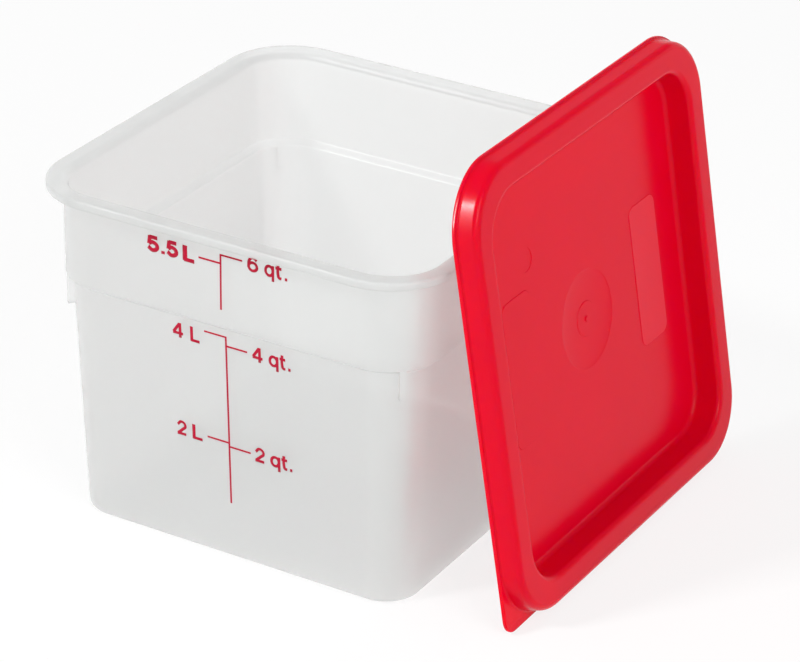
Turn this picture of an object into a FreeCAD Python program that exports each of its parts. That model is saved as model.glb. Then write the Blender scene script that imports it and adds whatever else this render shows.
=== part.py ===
# A square food storage container of clear plastic, with a press-on lid that is off and leans on its side.
# Lengths are in millimetres and angles in degrees. The container stands on its base, centred on the origin.
import FreeCAD, Part
import Sketcher
import os
import re

doc = FreeCAD.newDocument("food_storage_container")

# The driving sizes. Widths are across flats, and a corner's radius is that of its outer face.
SIZES = {
    # The container's rim and mouth.
    "height": 176.4,
    "rim_width": 219.0,
    "rim_corner_radius": 35.2,
    "rim_thickness": 4.5,
    "rim_overhang": 8.0,
    "rim_edge_radius": 1.3,
    "mouth_edge_radius": 4.0,
    "neck_edge_radius": 2.5,
    # Its walls and floor.
    "wall": 2.6,
    "floor_thickness": 3.0,
    "upper_taper": 0.12,
    "lower_taper": 5.05,
    "base_edge_radius": 3.0,
    "floor_edge_radius": 5.0,
    # The shoulder that stacked containers stand on, and the ribs that stop them jamming.
    "shoulder_height": 125.2,
    "shoulder_rise": 2.5,
    "shoulder_step": 3.58,
    "shoulder_edge_radius": 1.2,
    "rib_foot_height": 112.3,
    "rib_width": 2.7,
    "rib_setback": 0.3,
    # The lid's skirt, which presses over the rim.
    "rim_clearance": 0.3,
    "skirt_depth": 12.0,
    "skirt_wall": 1.1,
    "skirt_flare_angle": 8.0,
    "crown_thickness": 2.0,
    "crown_edge_radius": 3.3,
    "channel_edge_radius": 1.2,
    "bead_height": 0.7,
    "bead_clearance": 0.4,
    "lip_overhang": 1.36,
    "lip_thickness": 2.0,
    "lip_corner_radius": 32.9,
    "lip_edge_radius": 0.6,
    "lip_root_radius": 1.0,
    "tab_corner_radius": 7.2,
    # Its sunken panel, which plugs the mouth.
    "plug_clearance": 0.4,
    "plug_wall": 1.9,
    "plug_draft_angle": 3.0,
    "plug_edge_radius": 2.5,
    "recess_depth": 14.85,
    "recess_edge_radius": 3.0,
    "recess_foot_radius": 3.0,
    "panel_thickness": 2.7,
    # The marks on the panel: the moulding gate's dish, a pin's mark and two blank plates.
    "dish_radius": 24.4,
    "dish_depth": 0.5,
    "dish_slope_width": 3.0,
    "gate_boss_radius": 8.8,
    "gate_boss_height": 0.35,
    "gate_nub_radius": 1.5,
    "gate_nub_height": 0.6,
    "pin_mark_across": -49.2,
    "pin_mark_up": 49.8,
    "pin_mark_radius": 6.0,
    "pin_mark_depth": 0.25,
    "plate_offset": 62.5,
    "plate_width": 26.0,
    "plate_length": 73.0,
    "plate_height": 0.3,
    "plate_corner_radius": 5.0,
    # How the lid leans, with a hair's gap where it meets the rim, and how far cuts run past a face.
    "lean_angle": 9.689,
    "lean_gap": 0.3,
    "lean_shift": 27.47,
    "overrun": 2.0,
}
sheet = doc.addObject("Spreadsheet::Sheet", "Sizes")
for row, (alias, number) in enumerate(SIZES.items(), 1):
    sheet.set(f"A{row}", alias)
    sheet.set(f"B{row}", str(number))
    sheet.setAlias(f"B{row}", alias)
doc.recompute()


def bound(text):
    """The formula with each size's name turned into its cell of the sheet."""
    return re.sub(r"[a-z_]+", lambda word: "Sizes." * (word[0] in SIZES) + word[0], text)


def worth(text):
    """The formula's value now."""
    return float(sheet.evalExpression(text))


# An edge is found by where it lies, to this share of the wall's thickness.
match_share = 0.005
quarter_turn = 90
full_turn = 360
corners = 4


def plane_sketch(body, name, plane, at):
    """A new sketch on one of the body's own planes, moved to a place in that plane's axes."""
    sketch = body.newObject("Sketcher::SketchObject", name)
    support = next(item for item in body.Origin.OriginFeatures if item.Role == plane)
    sketch.AttachmentSupport = [(support, "")]
    sketch.MapMode = "FlatFace"
    for axis, text in zip("xyz", at):
        sketch.setExpression(f"AttachmentOffset.Base.{axis}", bound(text))
    return sketch


def outline(body, name, plane, points, at=("0", "0", "0")):
    """A sketch of straight lines through the points, each of which is a pair of formulas."""
    sketch = plane_sketch(body, name, plane, at)
    places = [FreeCAD.Vector(worth(across), worth(up)) for across, up in points]
    for start, end in zip(places, places[1:] + places[:1]):
        sketch.addGeometry(Part.LineSegment(start, end), False)
    for line, (across, up) in enumerate(points):
        before = line - 1 if line else len(points) - 1
        sketch.addConstraint(Sketcher.Constraint("Coincident", before, 2, line, 1))
        for kind, text, own_axis in (("DistanceX", across, -2), ("DistanceY", up, -1)):
            if text == "0":
                sketch.addConstraint(Sketcher.Constraint("PointOnObject", line, 1, own_axis))
            else:
                row = sketch.addConstraint(Sketcher.Constraint(kind, -1, 1, line, 1, worth(text)))
                sketch.setExpression(f"Constraints[{row}]", bound(text))
    return sketch


def disc(body, name, radius, at):
    """A sketch of one circle round a place on the body's ground plane."""
    sketch = plane_sketch(body, name, "XY_Plane", at)
    sketch.addGeometry(Part.Circle(FreeCAD.Vector(), FreeCAD.Vector(0, 0, 1), worth(radius)), False)
    sketch.addConstraint(Sketcher.Constraint("Coincident", 0, 3, -1, 1))
    row = sketch.addConstraint(Sketcher.Constraint("Radius", 0, worth(radius)))
    sketch.setExpression(f"Constraints[{row}]", bound(radius))
    return sketch


def straight(body, kind, sketch, length, both_ways=False, back=False):
    """A pad or pocket of the sketch."""
    feature = body.newObject(f"PartDesign::{kind}", f"{sketch.Name}_{kind.lower()}")
    feature.Profile = sketch
    feature.SideType = "Symmetric" if both_ways else "One side"
    feature.Reversed = back
    feature.setExpression("Length", bound(length))
    return feature


def turned(body, kind, sketch, angle):
    """A revolution or groove of the sketch about its own upright axis."""
    feature = body.newObject(f"PartDesign::{kind}", f"{sketch.Name}_{kind.lower()}")
    feature.Profile = sketch
    feature.ReferenceAxis = (sketch, ["V_Axis"])
    feature.Angle = angle
    return feature


def round_about(body, name, features, count):
    """The features repeated evenly about the body's upright axis."""
    pattern = body.newObject("PartDesign::PolarPattern", name)
    pattern.Originals = features
    pattern.Axis = (next(item for item in body.Origin.OriginFeatures if item.Role == "Z_Axis"), [""])
    pattern.Angle = full_turn
    pattern.Occurrences = count
    body.Tip = pattern
    doc.recompute()
    return pattern


def rounded_square(body, name, points, corner, cut=False):
    """A square form with round corners, added or cut: one side and one corner, repeated four times.
    The points give its section as distances from the middle and heights."""
    side_sketch = outline(body, f"{name}_side", "XZ_Plane", points)
    side = straight(body, "Pocket" if cut else "Pad", side_sketch, f"2 * {corner}", both_ways=True)
    doc.recompute()
    from_corner = [(across if across == "0" else f"{across} - {corner}", up) for across, up in points]
    corner_sketch = outline(body, f"{name}_corner", "XZ_Plane", from_corner, (corner, "0", f"-{corner}"))
    turn = turned(body, "Groove" if cut else "Revolution", corner_sketch, quarter_turn)
    doc.recompute()
    return round_about(body, f"{name}_round", [side, turn], corners)


def round_edges(body, name, radius, *rings):
    """Rounds each ring of edges, given as its distance from the middle and its height."""
    base = body.Tip
    near = worth("wall") * match_share
    wanted = [(worth(reach), worth(height)) for reach, height in rings]
    chosen = []
    for number, edge in enumerate(base.Shape.Edges, 1):
        box = edge.BoundBox
        far = max(-box.XMin, box.XMax, -box.YMin, box.YMax)
        for reach, height in wanted:
            if abs(far - reach) < near and abs(box.ZMin - height) < near and abs(box.ZMax - height) < near:
                chosen.append(f"Edge{number}")
    fillet = body.newObject("PartDesign::Fillet", name)
    fillet.Base = (base, chosen)
    fillet.setExpression("Radius", bound(radius))
    doc.recompute()
    return fillet


# The container: one thin wall from the base over the shoulder to the rim, its corners about one centre.
corner = "(rim_width / 2 - rim_corner_radius)"
rim = "(rim_width / 2)"
rim_underside = "(height - rim_thickness)"
upper = "(rim_width / 2 - rim_overhang)"
upper_foot = "(rim_width / 2 - rim_overhang - upper_taper)"
shoulder_top = "(shoulder_height + shoulder_rise)"
lower_top = "(rim_width / 2 - rim_overhang - upper_taper - shoulder_step)"
base = "(rim_width / 2 - rim_overhang - upper_taper - shoulder_step - lower_taper)"
slope_length = "sqrt(shoulder_step ^ 2 + shoulder_rise ^ 2)"
inner_lift = f"(wall * ({slope_length} - shoulder_rise) / shoulder_step)"
mouth = f"({upper} - wall)"
inner_base = f"({base} - wall + floor_thickness * lower_taper / shoulder_height)"

container = doc.addObject("PartDesign::Body", "container")
container.Label = "container"
rounded_square(container, "wall", [
    ("0", "0"),
    (base, "0"),
    (lower_top, "shoulder_height"),
    (upper_foot, shoulder_top),
    (upper, rim_underside),
    (rim, rim_underside),
    (rim, "height"),
    (mouth, "height"),
    (f"{upper_foot} - wall", f"{shoulder_top} + {inner_lift}"),
    (f"{lower_top} - wall", f"shoulder_height + {inner_lift}"),
    (inner_base, "floor_thickness"),
    ("0", "floor_thickness"),
], corner)
round_edges(container, "base_edge", "base_edge_radius", (base, "0"))
round_edges(container, "floor_edge", "floor_edge_radius", (inner_base, "floor_thickness"))
round_edges(container, "shoulder_edges", "shoulder_edge_radius",
            (lower_top, "shoulder_height"), (upper_foot, shoulder_top),
            (f"{upper_foot} - wall", f"{shoulder_top} + {inner_lift}"),
            (f"{lower_top} - wall", f"shoulder_height + {inner_lift}"))
round_edges(container, "neck_edge", "neck_edge_radius", (upper, rim_underside))
round_edges(container, "rim_edges", "rim_edge_radius", (rim, rim_underside), (rim, "height"))
round_edges(container, "mouth_edge", "mouth_edge_radius", (mouth, "height"))

# A thin upright rib under the shoulder at each corner.
rib_root = f"{corner} * sqrt(2) + {lower_top} - {corner} - wall / 2"
rib_edge = f"{corner} * sqrt(2) + {upper_foot} - {corner} - rib_setback"
rib_sketch = outline(container, "rib", "XZ_Plane", [
    (rib_root, "rib_foot_height"),
    (rib_edge, "rib_foot_height"),
    (rib_edge, f"{shoulder_top} + wall / 2"),
    (rib_root, "shoulder_height + wall / 4"),
])
upright = FreeCAD.Vector(0, 1, 0)
rib_sketch.AttachmentOffset = FreeCAD.Placement(FreeCAD.Vector(), FreeCAD.Rotation(upright, quarter_turn / 2))
rib = straight(container, "Pad", rib_sketch, "rib_width", both_ways=True)
doc.recompute()
round_about(container, "ribs", [rib], corners)

# The lid, drawn flat with its panel's underside on the ground: a cap whose skirt has its own corner centre.
lid_height = "(recess_depth + panel_thickness)"
lip_foot = f"({lid_height} - skirt_depth)"
lip_top = f"({lip_foot} + lip_thickness)"
flare = "tan(skirt_flare_angle * 1 deg)"
skirt_inside = "(rim_width / 2 + rim_clearance)"
skirt_top = f"({skirt_inside} + skirt_wall - crown_edge_radius * {flare})"
skirt_foot = f"({skirt_top} + (skirt_depth - lip_thickness) * {flare})"
lip = f"({skirt_foot} + lip_overhang)"
lid_corner = f"({lip} - lip_corner_radius)"
crown_underside = f"({lid_height} - crown_thickness)"
bead_top = f"({crown_underside} - rim_thickness - bead_clearance)"

lid = doc.addObject("PartDesign::Body", "lid")
lid.Label = "lid"
rounded_square(lid, "cap", [
    ("0", lip_foot),
    (lip, lip_foot),
    (lip, lip_top),
    (skirt_foot, lip_top),
    (skirt_top, lid_height),
    ("0", lid_height),
], lid_corner)

# The lip's one square corner, the tab that a thumb lifts. The channel for the rim is cut through it too.
tab_sketch = outline(lid, "tab", "XY_Plane", [
    ("0", "0"),
    ("lip_corner_radius", "0"),
    ("lip_corner_radius", "lip_corner_radius"),
    ("0", "lip_corner_radius"),
], (f"-{lip}", f"-{lip}", lip_foot))
straight(lid, "Pad", tab_sketch, "lip_thickness")
doc.recompute()
square_tab = lid.Tip
tab_edge = [f"Edge{number}" for number, edge in enumerate(square_tab.Shape.Edges, 1)
            if max(edge.BoundBox.XMax, edge.BoundBox.YMax) < -worth(lip) + worth("wall") * match_share]
tab_corner = lid.newObject("PartDesign::Fillet", "tab_corner")
tab_corner.Base = (square_tab, tab_edge)
tab_corner.setExpression("Radius", bound("tab_corner_radius"))
doc.recompute()

rounded_square(lid, "channel", [
    ("0", f"{lip_foot} - overrun"),
    (skirt_inside, f"{lip_foot} - overrun"),
    (skirt_inside, f"{bead_top} - 2 * bead_height"),
    (f"{skirt_inside} - bead_height", f"{bead_top} - bead_height"),
    (skirt_inside, bead_top),
    (skirt_inside, crown_underside),
    ("0", crown_underside),
], lid_corner, cut=True)

# The plug and the recess inside it have the mouth's corner centre.
draft = "tan(plug_draft_angle * 1 deg)"
plug_top = f"({mouth} - plug_clearance)"
plug_foot = f"({plug_top} - {lid_height} * {draft})"
recess_top = f"({plug_top} - plug_wall)"
recess_foot = f"({recess_top} - recess_depth * {draft})"
rounded_square(lid, "plug", [
    ("0", "0"),
    (plug_foot, "0"),
    (f"{plug_foot} + ({lid_height} - crown_thickness / 2) * {draft}", f"{lid_height} - crown_thickness / 2"),
    ("0", f"{lid_height} - crown_thickness / 2"),
], corner)
rounded_square(lid, "recess", [
    ("0", "panel_thickness"),
    (recess_foot, "panel_thickness"),
    (recess_top, lid_height),
    (f"{recess_top} + overrun * {draft}", f"{lid_height} + overrun"),
    ("0", f"{lid_height} + overrun"),
], corner, cut=True)
round_edges(lid, "crown_edge", "crown_edge_radius", (skirt_top, lid_height))
round_edges(lid, "recess_edge", "recess_edge_radius", (recess_top, lid_height))
round_edges(lid, "recess_foot", "recess_foot_radius", (recess_foot, "panel_thickness"))
round_edges(lid, "plug_edge", "plug_edge_radius", (plug_foot, "0"))
round_edges(lid, "channel_edge", "channel_edge_radius", (skirt_inside, crown_underside))
round_edges(lid, "lip_edges", "lip_edge_radius", (lip, lip_foot), (lip, lip_top))
round_edges(lid, "lip_root", "lip_root_radius", (skirt_foot, lip_top))

# The gate's dish in the middle of the panel, with a low boss and the nub where the gate broke off.
dish_floor = "(panel_thickness - dish_depth)"
dish_sketch = outline(lid, "dish", "XZ_Plane", [
    ("0", dish_floor),
    ("dish_radius - dish_slope_width", dish_floor),
    ("dish_radius", "panel_thickness"),
    ("dish_radius", "panel_thickness + overrun"),
    ("0", "panel_thickness + overrun"),
])
turned(lid, "Groove", dish_sketch, full_turn)
doc.recompute()
gate_sketch = outline(lid, "gate", "XZ_Plane", [
    ("0", "panel_thickness / 2"),
    ("gate_boss_radius", "panel_thickness / 2"),
    ("gate_boss_radius", f"{dish_floor} + gate_boss_height"),
    ("gate_nub_radius", f"{dish_floor} + gate_boss_height"),
    ("gate_nub_radius", f"{dish_floor} + gate_boss_height + gate_nub_height"),
    ("0", f"{dish_floor} + gate_boss_height + gate_nub_height"),
])
turned(lid, "Revolution", gate_sketch, full_turn)
doc.recompute()
pin_sketch = disc(lid, "pin_mark", "pin_mark_radius", ("pin_mark_across", "pin_mark_up", "panel_thickness"))
straight(lid, "Pocket", pin_sketch, "pin_mark_depth")
doc.recompute()

# Two blank raised plates, one each side of the dish.
plate_sketch = outline(lid, "plate", "XY_Plane", [
    ("plate_offset - plate_width / 2", "-plate_length / 2"),
    ("plate_offset + plate_width / 2", "-plate_length / 2"),
    ("plate_offset + plate_width / 2", "plate_length / 2"),
    ("plate_offset - plate_width / 2", "plate_length / 2"),
], ("0", "0", "panel_thickness / 2"))
plate = straight(lid, "Pad", plate_sketch, "panel_thickness / 2 + plate_height")
doc.recompute()
plates = round_about(lid, "plates", [plate], 2)
plate_edges = [f"Edge{number}" for number, edge in enumerate(plates.Shape.Edges, 1)
               if abs(edge.BoundBox.ZLength - worth("plate_height")) < worth("wall") * match_share
               and edge.BoundBox.ZMax > worth("panel_thickness + plate_height / 2")
               and edge.BoundBox.DiagonalLength < worth("plate_height") * 2]
plate_corners = lid.newObject("PartDesign::Fillet", "plate_corners")
plate_corners.Base = (plates, plate_edges)
plate_corners.setExpression("Radius", bound("plate_corner_radius"))
doc.recompute()

# The lid leans on the rim's right edge: its panel's underside just off the rim, and its lip on the ground.
lean_cos = "cos(lean_angle * 1 deg)"
lean_sin = "sin(lean_angle * 1 deg)"
rim_reach = f"((rim_width / 2 - rim_edge_radius) * {lean_cos} + (height - rim_edge_radius) * {lean_sin}"
rim_reach += " + rim_edge_radius + lean_gap)"
lid_up = f"(({lip} - lip_edge_radius) * {lean_cos} - ({lip_foot} + lip_edge_radius) * {lean_sin}"
lid_up += " + lip_edge_radius)"
lid_out = f"({rim_reach} - {lid_up} * {lean_sin}) / {lean_cos}"
lid.setExpression("Placement.Base.x", bound(lid_out))
lid.setExpression("Placement.Base.y", bound("lean_shift"))
lid.setExpression("Placement.Base.z", bound(lid_up))
lid.Placement.Rotation = FreeCAD.Rotation(quarter_turn, 0, quarter_turn - worth("lean_angle"))
doc.recompute()

# At sizes where the rim's edge misses the panel, the lid slides in until it is that gap from the container.
slide_tries = 6
slide_in = 0.0
for attempt in range(slide_tries):
    spare = container.Shape.distToShape(lid.Shape)[0] - worth("lean_gap")
    if spare < worth("lean_gap"):
        break
    slide_in += spare
    lid.setExpression("Placement.Base.x", bound(f"{lid_out} - {slide_in}"))
    doc.recompute()

for item in doc.Objects:
    if "Invalid" in item.State or "Error" in item.State:
        raise RuntimeError(f"{item.Name} failed: {item.State}")
os.makedirs("parts", exist_ok=True)
for body in (container, lid):
    if body.Shape.isNull() or not body.Shape.isValid() or len(body.Shape.Solids) != 1:
        raise RuntimeError(f"{body.Label} is not one valid solid")
    body.Shape.exportStep(f"parts/{body.Label}.step")
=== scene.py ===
import math
import bpy
from mathutils import Matrix, Vector


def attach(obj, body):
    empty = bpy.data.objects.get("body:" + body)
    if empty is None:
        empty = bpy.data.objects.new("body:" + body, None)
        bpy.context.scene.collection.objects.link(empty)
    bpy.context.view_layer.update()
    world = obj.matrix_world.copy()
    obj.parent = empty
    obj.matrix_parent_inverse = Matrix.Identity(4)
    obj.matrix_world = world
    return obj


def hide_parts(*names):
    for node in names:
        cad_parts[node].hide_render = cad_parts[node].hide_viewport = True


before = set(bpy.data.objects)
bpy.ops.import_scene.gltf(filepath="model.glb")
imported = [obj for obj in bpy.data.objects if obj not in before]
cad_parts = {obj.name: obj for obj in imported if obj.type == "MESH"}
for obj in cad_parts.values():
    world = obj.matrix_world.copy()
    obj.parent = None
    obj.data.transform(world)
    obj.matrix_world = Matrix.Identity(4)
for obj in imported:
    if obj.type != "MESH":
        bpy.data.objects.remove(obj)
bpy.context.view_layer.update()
mm = 0.001

# The container is one injection moulding in translucent polypropylene: a floor, a tapered lower wall,
# a shoulder, an upright upper wall and a flat rim. It starts as the rim, a thin square slab with round
# corners, and its wall is stepped down outside and then inside.
corner_centre = 74.3 * mm
rim_half = 109.5 * mm
rim_top = 176.4 * mm
rim_underside = 171.9 * mm
upper_half = 101.5 * mm
upper_foot_half = 101.38 * mm
shoulder_top = 127.7 * mm
shoulder_foot = 125.2 * mm
lower_half = 97.8 * mm
base_half = 92.75 * mm
wall = 2.6 * mm
floor_top = 3.0 * mm
inner_lift = 1.353 * mm
inner_base_half = 90.271 * mm
floor_round = 5.0 * mm
base_round = 3.1 * mm
shoulder_foot_round = 0.6 * mm
shoulder_top_round = 0.62 * mm
rim_root_round = 2.5 * mm
rim_edge_round = 1.3 * mm
mouth_round = 4.0 * mm
corner_steps = 41
hair = 0.02 * mm


def pick(piece, kind, test):
    """Selects the edges or faces whose points pass the test, and leaves the piece in edit mode."""
    bpy.ops.object.mode_set(mode="EDIT")
    bpy.ops.mesh.select_mode(type=kind)
    bpy.ops.mesh.select_all(action="DESELECT")
    bpy.ops.object.mode_set(mode="OBJECT")
    points = piece.data.vertices
    for item in piece.data.edges if kind == "EDGE" else piece.data.polygons:
        item.select = test([points[number].co for number in item.vertices])
    bpy.ops.object.mode_set(mode="EDIT")


def rounded_slab(name, half_across, half_along, radius, low, high, steps, middle=0):
    """A slab with round corners, left in edit mode."""
    if bpy.context.object and bpy.context.object.mode == "EDIT":
        bpy.ops.object.mode_set(mode="OBJECT")
    bpy.ops.object.select_all(action="DESELECT")
    bpy.ops.mesh.primitive_cube_add(size=1, location=(middle, 0, (low + high) / 2),
                                    scale=(2 * half_across, 2 * half_along, high - low))
    bpy.ops.object.transform_apply(location=True, rotation=True, scale=True)
    slab = bpy.context.object
    slab.name = name
    pick(slab, "EDGE", lambda ends: abs(ends[0].z - ends[1].z) > hair)
    bpy.ops.mesh.bevel(offset=radius, segments=steps, profile=0.5)
    return slab


def step_in(piece, height, steps):
    """Steps the flat face at a height in by each distance and along its normal by each depth."""
    pick(piece, "FACE", lambda points: all(abs(point.z - height) < hair for point in points))
    for distance, depth in steps:
        bpy.ops.mesh.inset(thickness=distance, depth=depth, use_even_offset=True)


def reach(point, centre):
    """How far out a point lies, measured as the walls are, with their corners about a centre."""
    return centre + math.hypot(max(abs(point.x) - centre, 0), max(abs(point.y) - centre, 0))


def round_ring(piece, centre, half, height, offset, steps=5):
    """Rounds the ring of edges at a reach and height."""
    pick(piece, "EDGE", lambda ends: all(
        abs(end.z - height) < hair and abs(reach(end, centre) - half) < 5 * hair for end in ends))
    bpy.ops.mesh.bevel(offset=offset, segments=steps, profile=0.5, clamp_overlap=False)


def finish_piece(piece, angle=35):
    """Smooth shading with the flats kept flat."""
    bpy.ops.object.mode_set(mode="OBJECT")
    bpy.ops.object.shade_smooth_by_angle(angle=math.radians(angle))
    weights = piece.modifiers.new("flats", "WEIGHTED_NORMAL")
    weights.keep_sharp = True
    bpy.ops.object.modifier_apply(modifier=weights.name)


tub = rounded_slab("container_shell", rim_half, rim_half, rim_half - corner_centre,
                   rim_underside, rim_top, corner_steps)
step_in(tub, rim_underside, (
    (rim_half - upper_half, 0),
    (upper_half - upper_foot_half, rim_underside - shoulder_top),
    (upper_foot_half - lower_half, shoulder_top - shoulder_foot),
    (lower_half - base_half, shoulder_foot),
))
step_in(tub, rim_top, (
    (rim_half - upper_half + wall, 0),
    (upper_half - upper_foot_half, shoulder_top + inner_lift - rim_top),
    (upper_foot_half - lower_half, shoulder_foot - shoulder_top),
    (lower_half - wall - inner_base_half, floor_top - shoulder_foot - inner_lift),
))
round_ring(tub, corner_centre, base_half, 0, base_round, 6)
round_ring(tub, corner_centre, inner_base_half, floor_top, floor_round, 7)
round_ring(tub, corner_centre, lower_half, shoulder_foot, shoulder_foot_round, 3)
round_ring(tub, corner_centre, upper_foot_half, shoulder_top, shoulder_top_round, 3)
round_ring(tub, corner_centre, upper_foot_half - wall, shoulder_top + inner_lift, shoulder_top_round, 3)
round_ring(tub, corner_centre, lower_half - wall, shoulder_foot + inner_lift, shoulder_foot_round, 3)
round_ring(tub, corner_centre, upper_half, rim_underside, rim_root_round, 5)
round_ring(tub, corner_centre, rim_half, rim_underside, rim_edge_round, 4)
round_ring(tub, corner_centre, rim_half, rim_top, rim_edge_round, 4)
round_ring(tub, corner_centre, upper_half - wall, rim_top, mouth_round, 7)

# A thin rib stands under the shoulder at each corner, so that stacked containers don't jam. It is part of
# the moulding, drawn out of the three middle strips of the rounded corner.
rib_foot = 112.3 * mm
rib_reach = 26.78 * mm
rib_half_angle = 3.4
rib_overrun = 1.0 * mm


def corner_place(point):
    """A point's distance from its corner's centre, and its angle there from the diagonal."""
    across = abs(point.x) - corner_centre
    along = abs(point.y) - corner_centre
    return math.hypot(across, along), math.degrees(math.atan2(along, across)) - 45


def on_lower_wall(point):
    """Whether a point lies on the outer side of the lower wall."""
    taper = base_half + (lower_half - base_half) * point.z / shoulder_foot
    return reach(point, corner_centre) > taper - wall / 2


def in_rib(points):
    """Whether a face lies where a rib comes out of the corner."""
    places = [corner_place(point) for point in points]
    return (all(abs(angle) < rib_half_angle and distance > 0 for distance, angle in places)
            and min(point.z for point in points) > rib_foot - hair
            and max(point.z for point in points) < shoulder_top + rib_overrun
            and min(distance for distance, angle in places) < rib_reach
            and all(on_lower_wall(point) for point in points))


pick(tub, "FACE", lambda points: all(on_lower_wall(point) and point.z < shoulder_foot for point in points)
     and max(point.z for point in points) > rib_foot > min(point.z for point in points))
bpy.ops.mesh.bisect(plane_co=(0, 0, rib_foot), plane_no=(0, 0, 1))
pick(tub, "FACE", in_rib)
bpy.ops.mesh.extrude_region()
bpy.ops.object.mode_set(mode="OBJECT")
for number in {number for face in tub.data.polygons if face.select for number in face.vertices}:
    point = tub.data.vertices[number].co
    stretch = max(rib_reach / corner_place(point)[0], 1)
    point.x = math.copysign(corner_centre + (abs(point.x) - corner_centre) * stretch, point.x)
    point.y = math.copysign(corner_centre + (abs(point.y) - corner_centre) * stretch, point.y)
bpy.ops.object.mode_set(mode="EDIT")
bpy.ops.mesh.select_all(action="SELECT")
bpy.ops.mesh.remove_doubles(threshold=0.5 * hair)
finish_piece(tub)


def linear(colour):
    """An sRGB hex colour as linear values."""
    parts = [int(colour[place:place + 2], 16) / 255 for place in (1, 3, 5)]
    return [part / 12.92 if part <= 0.04045 else ((part + 0.055) / 1.055) ** 2.4 for part in parts] + [1]


def add_node(tree, kind, values={}, links={}, **settings):
    """Adds a node with its settings, its inputs' values and the sockets that feed it."""
    added = tree.nodes.new(kind)
    for name, setting in settings.items():
        setattr(added, name, setting)
    for name, value in values.items():
        added.inputs[name].default_value = value
    for name, socket in links.items():
        tree.links.new(socket, added.inputs[name])
    return added


# Polypropylene, moulded with a fine matt texture: milky, so it passes light but blurs what is behind it.
# Its flow leaves broad clouds of gloss. The grit is finer than this and is drawn coarser, to show.
flow_size = 40 * mm
grit_size = 0.9 * mm
grit_depth = 0.05 * mm
frosted = bpy.data.materials.new("frosted_polypropylene")
frosted.use_nodes = True
tree = frosted.node_tree
shader = tree.nodes["Principled BSDF"]
shader.inputs["Base Color"].default_value = linear("#F0F2F1")
shader.inputs["IOR"].default_value = 1.49
shader.inputs["Transmission Weight"].default_value = 0.72
shader.inputs["Alpha"].default_value = 0.5
place = add_node(tree, "ShaderNodeTexCoord").outputs["Object"]
flow = add_node(tree, "ShaderNodeTexNoise", {"Scale": 1 / flow_size, "Detail": 3}, {"Vector": place})
grit = add_node(tree, "ShaderNodeTexNoise", {"Scale": 1 / grit_size, "Detail": 2}, {"Vector": place})
matt = add_node(tree, "ShaderNodeMapRange", {"To Min": 0.3, "To Max": 0.42}, {"Value": flow.outputs["Fac"]})
tree.links.new(matt.outputs["Result"], shader.inputs["Roughness"])
bump = add_node(tree, "ShaderNodeBump", {"Strength": 0.08, "Distance": grit_depth},
                {"Height": grit.outputs["Fac"]})
tree.links.new(bump.outputs["Normal"], shader.inputs["Normal"])
tub.data.materials.append(frosted)
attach(tub, "container")
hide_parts("container")

# The scale is screen-printed on the front wall in dark red ink: an upright line on each of the two walls,
# ticks for litres to its left and for quarts to its right, and plain numerals beside them.
ink_width = 1.0 * mm
ink_depth = 0.04 * mm
ink_lift = 0.05 * mm
lower_lean = math.atan2(lower_half - base_half, shoulder_foot)
upper_lean = math.atan2(upper_half - upper_foot_half, rim_underside - shoulder_top)

# Screen ink: an even, slightly glossy film, a little lighter where the mesh of the screen laid less of it.
film_size = 1.5 * mm
screen_ink = bpy.data.materials.new("screen_ink")
screen_ink.use_nodes = True
tree = screen_ink.node_tree
shader = tree.nodes["Principled BSDF"]
shader.inputs["IOR"].default_value = 1.5
shader.inputs["Specular IOR Level"].default_value = 0.15
place = add_node(tree, "ShaderNodeTexCoord").outputs["Object"]
film = add_node(tree, "ShaderNodeTexNoise", {"Scale": 1 / film_size, "Detail": 3}, {"Vector": place})
shade = add_node(tree, "ShaderNodeMix", {6: linear("#AA0A2C"), 7: linear("#B80E32")},
                 {0: film.outputs["Fac"]}, data_type="RGBA")
tree.links.new(shade.outputs[2], shader.inputs["Base Color"])
sheen = add_node(tree, "ShaderNodeMapRange", {"To Min": 0.3, "To Max": 0.45}, {"Value": film.outputs["Fac"]})
tree.links.new(sheen.outputs["Result"], shader.inputs["Roughness"])


def thicken(piece):
    """Gives a flat drawing the thickness of a film of ink."""
    bpy.context.view_layer.objects.active = piece
    film_thickness = piece.modifiers.new("film", "SOLIDIFY")
    film_thickness.thickness = ink_depth
    film_thickness.offset = 0
    bpy.ops.object.modifier_apply(modifier=film_thickness.name)


def print_on_wall(piece, lower):
    """Lays a piece drawn flat at its own x and height on the lower or upper front wall, and prints it."""
    lean = lower_lean if lower else upper_lean
    foot = Vector((0, -base_half if lower else -upper_foot_half, 0 if lower else shoulder_top))
    outward = Vector((0, -math.cos(lean), -math.sin(lean)))
    piece.matrix_world = (Matrix.Translation(foot + outward * ink_lift)
                          @ Matrix.Rotation(lean + math.pi / 2, 4, "X")
                          @ Matrix.Translation((0, -foot.z, 0)))
    bpy.ops.object.select_all(action="DESELECT")
    piece.select_set(True)
    bpy.context.view_layer.objects.active = piece
    bpy.ops.object.transform_apply(location=True, rotation=True, scale=True)
    piece.data.materials.clear()
    piece.data.materials.append(screen_ink)
    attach(piece, "container")


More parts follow.
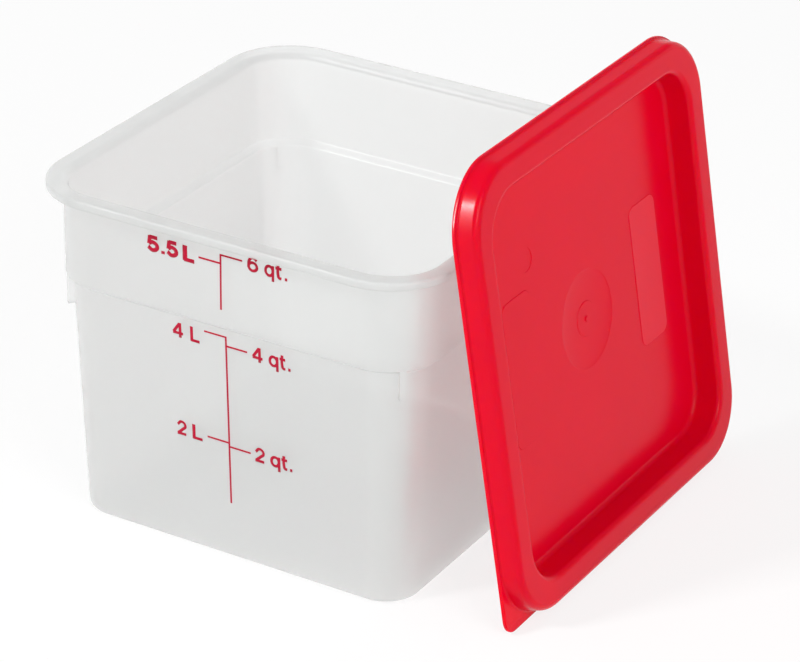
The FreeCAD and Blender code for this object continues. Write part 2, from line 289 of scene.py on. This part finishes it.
def scale_line(name, low, high, ticks, lower):
    """An upright line with ticks drawn out of its sides; a tick is its height and how far it runs."""
    bpy.ops.object.select_all(action="DESELECT")
    bpy.ops.mesh.primitive_plane_add(size=1, location=(0, (low + high) / 2, 0))
    line = bpy.context.object
    line.name = name
    line.scale = (ink_width, high - low, 1)
    bpy.ops.object.transform_apply(location=True, rotation=True, scale=True)
    for height, run in ticks:
        for edge in (height - ink_width / 2, height + ink_width / 2):
            if low + hair < edge < high - hair:
                bpy.ops.object.mode_set(mode="EDIT")
                bpy.ops.mesh.select_all(action="SELECT")
                bpy.ops.mesh.bisect(plane_co=(0, edge, 0), plane_no=(0, 1, 0))
                bpy.ops.object.mode_set(mode="OBJECT")
        side = math.copysign(ink_width / 2, run)
        pick(line, "EDGE", lambda ends: all(abs(end.x - side) < hair for end in ends)
             and abs((ends[0].y + ends[1].y) / 2 - height) < ink_width / 2)
        bpy.ops.mesh.extrude_edges_move(TRANSFORM_OT_translate={"value": (run - side, 0, 0)})
        bpy.ops.object.mode_set(mode="OBJECT")
    thicken(line)
    print_on_wall(line, lower)


scale_line("scale_upper", 137.0 * mm, 165.65 * mm, (
    (160.8 * mm, -12.1 * mm), (165.2 * mm, 11.9 * mm)), False)
scale_line("scale_lower", 30.8 * mm, 121.65 * mm, (
    (121.2 * mm, -12.1 * mm), (116.5 * mm, 11.7 * mm), (64.1 * mm, -12.3 * mm), (62.1 * mm, 12.0 * mm)), True)

# Each character is drawn with a flat nib, stroke by stroke, in heights of a capital. A stroke is straight
# between its points, or runs round through them, or closes into a bowl.
characters = {
    "2": (("round", (0.08, 0.68), (0.37, 0.92), (0.66, 0.68), (0.42, 0.38), (0.1, 0.1)),
          ("straight", (0.03, 0.075), (0.7, 0.075))),
    "4": (("straight", (0.53, 0), (0.53, 1)),
          ("straight", (0.5, 0.95), (0.07, 0.32)),
          ("straight", (0.03, 0.29), (0.74, 0.29))),
    "5": (("straight", (0.7, 0.92), (0.18, 0.92)),
          ("straight", (0.21, 0.99), (0.14, 0.44)),
          ("round", (0.13, 0.48), (0.41, 0.6), (0.69, 0.34), (0.4, 0.08), (0.08, 0.25))),
    "6": (("bowl", (0.4, 0.6), (0.69, 0.335), (0.4, 0.075), (0.11, 0.335)),
          ("round", (0.68, 0.76), (0.43, 0.92), (0.16, 0.72), (0.11, 0.36))),
    "L": (("straight", (0.08, 0), (0.08, 1)),
          ("straight", (0.02, 0.07), (0.6, 0.07))),
    "q": (("bowl", (0.35, 0.68), (0.61, 0.37), (0.35, 0.07), (0.08, 0.37)),
          ("straight", (0.62, 0.75), (0.62, -0.27))),
    "t": (("round", (0.2, 0.96), (0.2, 0.24), (0.26, 0.09), (0.42, 0.07)),
          ("straight", (0.02, 0.68), (0.42, 0.68))),
    ".": (("straight", (0.08, 0), (0.08, 0.2)),),
}
capital = 7.8 * mm
nib_width = 1.5 * mm
bold_nib_width = 2.05 * mm
curve_steps = 8


def carve(piece, tool, operation):
    """Adds or cuts away the tool's shape, and removes the tool."""
    bpy.ops.object.mode_set(mode="OBJECT")
    bpy.ops.object.select_all(action="DESELECT")
    piece.select_set(True)
    bpy.context.view_layer.objects.active = piece
    change = piece.modifiers.new("carve", "BOOLEAN")
    change.operation = operation
    change.solver = "EXACT"
    change.object = tool
    bpy.ops.object.modifier_apply(modifier=change.name)
    bpy.data.objects.remove(tool)


def scale_words(name, foot, nib_across, lower, *places):
    """Characters with their foot at a height, each from one place across the wall to another, in mm."""
    bpy.ops.object.select_all(action="DESELECT")
    bpy.ops.curve.primitive_bezier_curve_add()
    nib = bpy.context.object
    for end, point in zip((-0.5, 0.5), nib.data.splines[0].bezier_points):
        point.handle_left_type = point.handle_right_type = "VECTOR"
        point.co = (end * nib_across / capital, 0, 0)
    drawn = []
    for character, left, right in places:
        strokes = []
        for kind, *points in characters[character]:
            bpy.ops.object.select_all(action="DESELECT")
            bpy.ops.curve.primitive_bezier_curve_add()
            pen = bpy.context.object
            pen.data.dimensions = "2D"
            pen.data.fill_mode = "NONE"
            pen.data.resolution_u = curve_steps
            pen.data.bevel_mode = "OBJECT"
            pen.data.bevel_object = nib
            pen.data.splines.clear()
            line = pen.data.splines.new("BEZIER")
            line.bezier_points.add(len(points) - 1)
            line.use_cyclic_u = kind == "bowl"
            for spot, (across, up) in zip(line.bezier_points, points):
                turn = "VECTOR" if kind == "straight" else "AUTO"
                spot.handle_left_type = spot.handle_right_type = turn
                spot.co = (across, up, 0)
            bpy.ops.object.convert(target="MESH")
            strokes.append(bpy.context.object)
        spots = [spot.co for stroke in strokes for spot in stroke.data.vertices]
        first = min(spot.x for spot in spots)
        last = max(spot.x for spot in spots)
        for spot in spots:
            spot.x = left * mm + (spot.x - first) / (last - first) * (right - left) * mm
            spot.y = foot + spot.y * capital
        for stroke in strokes:
            pick(stroke, "FACE", lambda points: True)
            bpy.ops.mesh.remove_doubles(threshold=0.5 * hair)
            bpy.ops.object.mode_set(mode="OBJECT")
            thicken(stroke)
            if stroke is not strokes[0]:
                carve(strokes[0], stroke, "UNION")
        drawn.append(strokes[0])
    bpy.ops.object.select_all(action="DESELECT")
    for pen in drawn:
        pen.select_set(True)
    bpy.context.view_layer.objects.active = drawn[0]
    bpy.ops.object.join()
    bpy.data.objects.remove(nib)
    words = bpy.context.object
    words.name = name
    bpy.ops.object.mode_set(mode="EDIT")
    bpy.ops.mesh.select_all(action="SELECT")
    bpy.ops.mesh.normals_make_consistent(inside=False)
    bpy.ops.object.mode_set(mode="OBJECT")
    print_on_wall(words, lower)


scale_words("scale_5_5_l", 157.2 * mm, bold_nib_width, False,
            ("5", -40.7, -33.9), (".", -32.8, -30.8), ("5", -29.9, -23.3), ("L", -20.9, -14.5))
scale_words("scale_6_qt", 161.1 * mm, nib_width, False,
            ("6", 14.6, 20.6), ("q", 23.8, 29.2), ("t", 29.8, 33.2), (".", 34.9, 36.2))
scale_words("scale_4_l", 113.8 * mm, nib_width, True, ("4", -30.0, -24.0), ("L", -20.0, -14.8))
scale_words("scale_4_qt", 112.9 * mm, nib_width, True,
            ("4", 14.3, 20.1), ("q", 23.4, 28.9), ("t", 29.5, 32.7), (".", 34.1, 35.4))
scale_words("scale_2_l", 60.6 * mm, nib_width, True, ("2", -29.6, -24.1), ("L", -20.9, -15.2))
scale_words("scale_2_qt", 58.7 * mm, nib_width, True,
            ("2", 14.4, 19.9), ("q", 22.8, 28.5), ("t", 29.1, 32.4), (".", 33.8, 35.1))

# The lid is one moulding in red polyethylene. Its skirt presses over the rim, a lip stiffens the skirt's
# edge, and the panel is sunk so that it plugs the mouth. It is modelled flat, from the lip slab and the
# plug slab, which are bridged by the crown, and is then set leaning.
lid_corner = 80.3 * mm
lip_half = 113.2 * mm
lip_foot = 5.55 * mm
lip_top = 7.55 * mm
skirt_foot_half = 111.84 * mm
skirt_top_half = 110.436 * mm
skirt_inside_half = 109.8 * mm
crown_top = 17.55 * mm
crown_underside = 15.55 * mm
plug_half = 98.395 * mm
plug_foot_half = 97.58 * mm
recess_half = 96.6 * mm
recess_foot_half = 95.82 * mm
panel_top = 2.7 * mm
crown_round = 3.1 * mm
recess_round = 2.85 * mm
plug_round = 2.4 * mm
channel_round = 1.2 * mm
skirt_root_round = 1.0 * mm
lip_round = 0.6 * mm
lid_steps = 24

lid = rounded_slab("lid_shell", lip_half, lip_half, lip_half - lid_corner, lip_foot, lip_top, lid_steps)
step_in(lid, lip_top, (
    (lip_half - skirt_foot_half, 0),
    (skirt_foot_half - skirt_top_half, crown_top - lip_top),
))
step_in(lid, lip_foot, ((lip_half - skirt_inside_half, 0), (0, lip_foot - crown_underside)))
pick(lid, "FACE", lambda points: all(abs(point.z - crown_top) < hair for point in points)
     or all(abs(point.z - crown_underside) < hair for point in points))
bpy.ops.mesh.delete(type="FACE")

# The lip's one square corner is the tab that a thumb lifts: the round corner's points are moved out to it.
tab_radius = 7.2 * mm
tab_flat_steps = 7
bpy.ops.object.mode_set(mode="OBJECT")
for vertex in lid.data.vertices:
    point = vertex.co
    if max(point.x, point.y) < hair - lid_corner and reach(point, lid_corner) > lip_half - 5 * hair:
        turn = math.degrees(math.atan2(-point.y - lid_corner, -point.x - lid_corner))
        step = round(turn / 90 * lid_steps)
        along = min(step, lid_steps - step) / tab_flat_steps
        if along <= 1:
            run = lid_corner + (lip_half - tab_radius - lid_corner) * along
            point.x, point.y = (-lip_half, -run) if turn < 45 else (-run, -lip_half)
        else:
            angle = (step - tab_flat_steps) / (lid_steps - 2 * tab_flat_steps) * math.pi / 2
            point.x = tab_radius - lip_half - tab_radius * math.cos(angle)
            point.y = tab_radius - lip_half - tab_radius * math.sin(angle)

# The plug and the recess in it are a second slab, open where the crown and the panel join it.
plug = rounded_slab("plug", plug_half, plug_half, plug_half - corner_centre,
                    crown_underside, crown_top, lid_steps)
step_in(plug, crown_underside, ((plug_half - plug_foot_half, crown_underside),))
step_in(plug, crown_top, (
    (plug_half - recess_half, 0),
    (recess_half - recess_foot_half, panel_top - crown_top),
))
pick(plug, "FACE", lambda points: min(point.z for point in points) > crown_underside - hair
     or all(abs(point.z - panel_top) < hair for point in points))
bpy.ops.mesh.delete(type="FACE")

# The gate's dish is in the middle of the panel, with a low boss and the nub where the gate broke off. Its
# rings go in from the edge, each a radius and a rise in mm.
dish_radius = 24.4 * mm
dish_round = 0.2 * mm
dish_rings = ((23.9, -0.2), (21.0, -0.22), (17.0, -0.2), (13.0, -0.12), (8.8, -0.06),
              (8.5, 0.3), (1.6, 0), (1.3, 0.6))
bpy.ops.object.mode_set(mode="OBJECT")
bpy.ops.object.select_all(action="DESELECT")
bpy.ops.mesh.primitive_circle_add(vertices=4 * (lid_steps + 1), radius=dish_radius,
                                  location=(0, 0, panel_top))
bpy.ops.object.transform_apply(location=True, rotation=True, scale=True)
dish = bpy.context.object
bpy.ops.object.mode_set(mode="EDIT")
bpy.ops.mesh.select_all(action="SELECT")
radius = dish_radius
for ring_radius, rise in dish_rings:
    shrink = ring_radius * mm / radius
    bpy.ops.mesh.extrude_edges_move(TRANSFORM_OT_translate={"value": (0, 0, rise * mm)})
    bpy.ops.transform.resize(value=(shrink, shrink, 1), center_override=(0, 0, 0))
    radius = ring_radius * mm
bpy.ops.mesh.edge_face_add()
bpy.ops.object.mode_set(mode="OBJECT")

lid.select_set(True)
plug.select_set(True)
dish.select_set(True)
bpy.context.view_layer.objects.active = lid
bpy.ops.object.join()


def ring(centre, half, height):
    """A test for the edges of a ring at a reach and height."""
    return lambda ends: all(
        abs(end.z - height) < hair and abs(reach(end, centre) - half) < 5 * hair for end in ends)


def bridge(piece, first, second):
    """Joins two rings of edges with a band of faces."""
    pick(piece, "EDGE", lambda ends: first(ends) or second(ends))
    bpy.ops.mesh.bridge_edge_loops()


bridge(lid, ring(lid_corner, skirt_top_half, crown_top), ring(corner_centre, recess_half, crown_top))
bridge(lid, ring(lid_corner, skirt_inside_half, crown_underside),
       ring(corner_centre, plug_half, crown_underside))
bridge(lid, ring(corner_centre, recess_foot_half, panel_top), ring(0, dish_radius, panel_top))
bpy.ops.mesh.select_all(action="SELECT")
bpy.ops.mesh.normals_make_consistent(inside=False)

# A small bead round the inside of the skirt snaps under the rim.
bead_height = 9.95 * mm
bead_radius = 0.7 * mm
for height in (bead_height - bead_radius, bead_height, bead_height + bead_radius):
    pick(lid, "FACE", lambda points: all(
        abs(reach(point, lid_corner) - skirt_inside_half) < 5 * hair for point in points)
        and max(point.z for point in points) > height + hair
        and min(point.z for point in points) < height - hair)
    bpy.ops.mesh.bisect(plane_co=(0, 0, height), plane_no=(0, 0, 1))
pick(lid, "EDGE", ring(lid_corner, skirt_inside_half, bead_height))
bpy.ops.transform.shrink_fatten(value=bead_radius)

round_ring(lid, lid_corner, skirt_top_half, crown_top, crown_round, 6)
round_ring(lid, corner_centre, recess_half, crown_top, recess_round, 6)
round_ring(lid, corner_centre, recess_foot_half, panel_top, recess_round, 6)
round_ring(lid, corner_centre, plug_foot_half, 0, plug_round, 5)
round_ring(lid, lid_corner, skirt_inside_half, crown_underside, channel_round, 4)
round_ring(lid, lid_corner, skirt_foot_half, lip_top, skirt_root_round, 3)
for height in (lip_foot, lip_top):
    pick(lid, "EDGE", lambda ends: all(
        abs(end.z - height) < hair and reach(end, lid_corner) > lip_half - 5 * hair for end in ends))
    bpy.ops.mesh.bevel(offset=lip_round, segments=3, profile=0.5, clamp_overlap=False)
round_ring(lid, 0, dish_radius, panel_top, dish_round, 2)

# Two blank raised plates stand one each side of the dish, and a moulding pin has left a round mark.
plate_top = 3.0 * mm
plate_root = 1.7 * mm
plate_half_width = 13.0 * mm
plate_half_length = 36.5 * mm
plate_corner = 5.0 * mm
plate_place = 62.5 * mm
plate_bevel = 0.25 * mm
pin_radius = 6.0 * mm
pin_depth = 0.25 * mm
pin_length = 4.0 * mm
pin_across = -49.2 * mm
pin_along = 49.8 * mm

for side in (-1, 1):
    plate = rounded_slab("plate", plate_half_width, plate_half_length, plate_corner,
                         plate_root, plate_top, 6, side * plate_place)
    pick(plate, "EDGE", lambda ends: all(abs(end.z - plate_top) < hair for end in ends))
    bpy.ops.mesh.bevel(offset=plate_bevel, segments=1, profile=0.5)
    carve(lid, plate, "UNION")
bpy.ops.object.select_all(action="DESELECT")
bpy.ops.mesh.primitive_cylinder_add(vertices=48, radius=pin_radius, depth=pin_length,
                                    location=(pin_across, pin_along, panel_top - pin_depth + pin_length / 2))
bpy.ops.object.transform_apply(location=True, rotation=True, scale=True)
carve(lid, bpy.context.object, "DIFFERENCE")
finish_piece(lid)
spots = [vertex.co.copy() for vertex in lid.data.vertices]
plate_faces = [face.index for face in lid.data.polygons if all(
    abs(spots[number].z - plate_top) < hair and spots[number].x > 0 for number in face.vertices)]

# It leans on the rim's right edge and stands on its lip, square corner down and to the front.
lean = math.radians(9.689)
lid_place = Vector((120.842, 27.47, 110.56)) * mm
lid.matrix_world = (Matrix.Translation(lid_place) @ Matrix.Rotation(math.pi / 2, 4, "Z")
                    @ Matrix.Rotation(math.pi / 2 - lean, 4, "X"))
bpy.ops.object.transform_apply(location=True, rotation=True, scale=True)
cloud_size = 30 * mm
grain_size = 0.8 * mm
grain_depth = 0.05 * mm


def polyethylene(name, dark, light, smoothest, roughest, gloss):
    """Red polyethylene, with a little light under its skin, clouded by its flow and finely grained."""
    material = bpy.data.materials.new(name)
    material.use_nodes = True
    tree = material.node_tree
    shader = tree.nodes["Principled BSDF"]
    shader.inputs["IOR"].default_value = 1.5
    shader.inputs["Specular IOR Level"].default_value = gloss
    shader.inputs["Subsurface Weight"].default_value = 0.7
    shader.inputs["Subsurface Radius"].default_value = (1.0, 0.08, 0.05)
    shader.inputs["Subsurface Scale"].default_value = 8.0 * mm
    place = add_node(tree, "ShaderNodeTexCoord").outputs["Object"]
    flow = add_node(tree, "ShaderNodeTexNoise", {"Scale": 1 / cloud_size, "Detail": 3}, {"Vector": place})
    grain = add_node(tree, "ShaderNodeTexNoise", {"Scale": 1 / grain_size, "Detail": 2}, {"Vector": place})
    shade = add_node(tree, "ShaderNodeMix", {6: linear(dark), 7: linear(light)},
                     {0: flow.outputs["Fac"]}, data_type="RGBA")
    tree.links.new(shade.outputs[2], shader.inputs["Base Color"])
    matt = add_node(tree, "ShaderNodeMapRange", {"To Min": smoothest, "To Max": roughest},
                    {"Value": flow.outputs["Fac"]})
    tree.links.new(matt.outputs["Result"], shader.inputs["Roughness"])
    bump = add_node(tree, "ShaderNodeBump", {"Strength": 0.25, "Distance": grain_depth},
                    {"Height": grain.outputs["Fac"]})
    tree.links.new(bump.outputs["Normal"], shader.inputs["Normal"])
    return material


# Moulded with a fine satin texture it has soft broad highlights. The right plate's top, etched in the mould,
# is more matt and so looks paler.
lid.data.materials.append(polyethylene("satin_polyethylene", "#D60024", "#DC0127", 0.2, 0.26, 0.1))
lid.data.materials.append(polyethylene("etched_polyethylene", "#DE2A3C", "#E43042", 0.55, 0.65, 0.3))
for number in plate_faces:
    lid.data.polygons[number].material_index = 1
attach(lid, "lid")
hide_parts("lid")

# The studio: a pale paper floor that runs far back, a surround that is white low down and darker overhead,
# and soft lamps. Rays that look at the floor see it mostly white, and the rest of it keeps the shadow.
floor_size = 12
floor_drop = 0.2 * mm
bpy.ops.object.select_all(action="DESELECT")
bpy.ops.mesh.primitive_plane_add(size=floor_size, location=(0, 0, -floor_drop))
bpy.ops.object.transform_apply(location=True, rotation=True, scale=True)
floor = bpy.context.object
floor.name = "floor"
paper = bpy.data.materials.new("studio_paper")
paper.use_nodes = True
tree = paper.node_tree
shader = tree.nodes["Principled BSDF"]
shader.inputs["Base Color"].default_value = linear("#F8F8F8")
shader.inputs["Roughness"].default_value = 0.9
shader.inputs["Specular IOR Level"].default_value = 0.2


def ray_that_looks(tree):
    """A socket that is 1 for rays that look, straight or by gloss or glass, and 0 for light."""
    ray = add_node(tree, "ShaderNodeLightPath").outputs
    seen = add_node(tree, "ShaderNodeMath", {}, {0: ray["Is Camera Ray"], 1: ray["Is Glossy Ray"]},
                    operation="MAXIMUM")
    return add_node(tree, "ShaderNodeMath", {}, {0: seen.outputs[0], 1: ray["Is Transmission Ray"]},
                    operation="MAXIMUM").outputs[0]


share = add_node(tree, "ShaderNodeMapRange", {"To Min": 0.0, "To Max": 0.8},
                 {"Value": ray_that_looks(tree)})
glow = add_node(tree, "ShaderNodeEmission", {"Strength": 1.0})
both = add_node(tree, "ShaderNodeMixShader", {},
                {0: share.outputs["Result"], 1: shader.outputs[0], 2: glow.outputs[0]})
tree.links.new(both.outputs[0], tree.nodes["Material Output"].inputs["Surface"])
floor.data.materials.append(paper)

surround = bpy.data.worlds.new("surround")
surround.use_nodes = True
bpy.context.scene.world = surround
tree = surround.node_tree
sky = tree.nodes["Background"]
sky.inputs["Color"].default_value = (1, 1, 1, 1)
way = add_node(tree, "ShaderNodeTexCoord").outputs["Generated"]
rise = add_node(tree, "ShaderNodeSeparateXYZ", {}, {0: way}).outputs["Z"]
backdrop = add_node(tree, "ShaderNodeMapRange",
                    {"From Min": 0.2, "From Max": 0.45, "To Min": 1.0, "To Max": 0.25}, {"Value": rise})
strength = add_node(tree, "ShaderNodeMapRange", {"To Min": 0.47},
                    {"Value": ray_that_looks(tree), "To Max": backdrop.outputs["Result"]})
tree.links.new(strength.outputs["Result"], sky.inputs["Strength"])


def softbox(name, place, aim, width, height, power):
    """A soft lamp with a flat face, aimed at a point."""
    bpy.ops.object.light_add(type="AREA", location=place)
    lamp = bpy.context.object
    lamp.name = name
    lamp.data.shape = "RECTANGLE"
    lamp.data.size = width
    lamp.data.size_y = height
    lamp.data.energy = power
    lamp.rotation_euler = (Vector(aim) - Vector(place)).to_track_quat("-Z", "Y").to_euler()
    return lamp


middle = (0, 0, 0.1)
softbox("key", (-1.3, -1.9, 2.2), middle, 0.5, 0.5, 56)
softbox("fill", (2.5, -1.2, 1.8), middle, 1.6, 1.6, 42)

# A tall strip lamp gives the lid's satin skirt its long highlight. It lights no other piece.
lid_front_corner = (0.11, -0.08, 0.2)
strip = softbox("strip", (-1.26, -2.28, 1.45), lid_front_corner, 0.3, 2.0, 420)
strip.visible_camera = False
strip.visible_diffuse = False
strip_lights = bpy.data.collections.new("strip_lights")
strip_lights.objects.link(lid)
strip.light_linking.receiver_collection = strip_lights

# The camera, where the photograph was taken from.
bpy.ops.object.camera_add()
camera = bpy.context.object
camera.data.sensor_fit = "HORIZONTAL"
camera.data.sensor_width = 36
camera.data.lens = 159.33
camera_place = Vector((0.80869, -1.31481, 0.87322))
turn = math.radians(30.4342)
tilt = math.radians(90 - 27.1194)
roll = math.radians(0.981)
camera.matrix_world = (Matrix.Translation(camera_place) @ Matrix.Rotation(turn, 4, "Z")
                       @ Matrix.Rotation(tilt, 4, "X") @ Matrix.Rotation(roll, 4, "Z"))
bpy.context.scene.camera = camera
bpy.context.scene.view_settings.view_transform = "Standard"
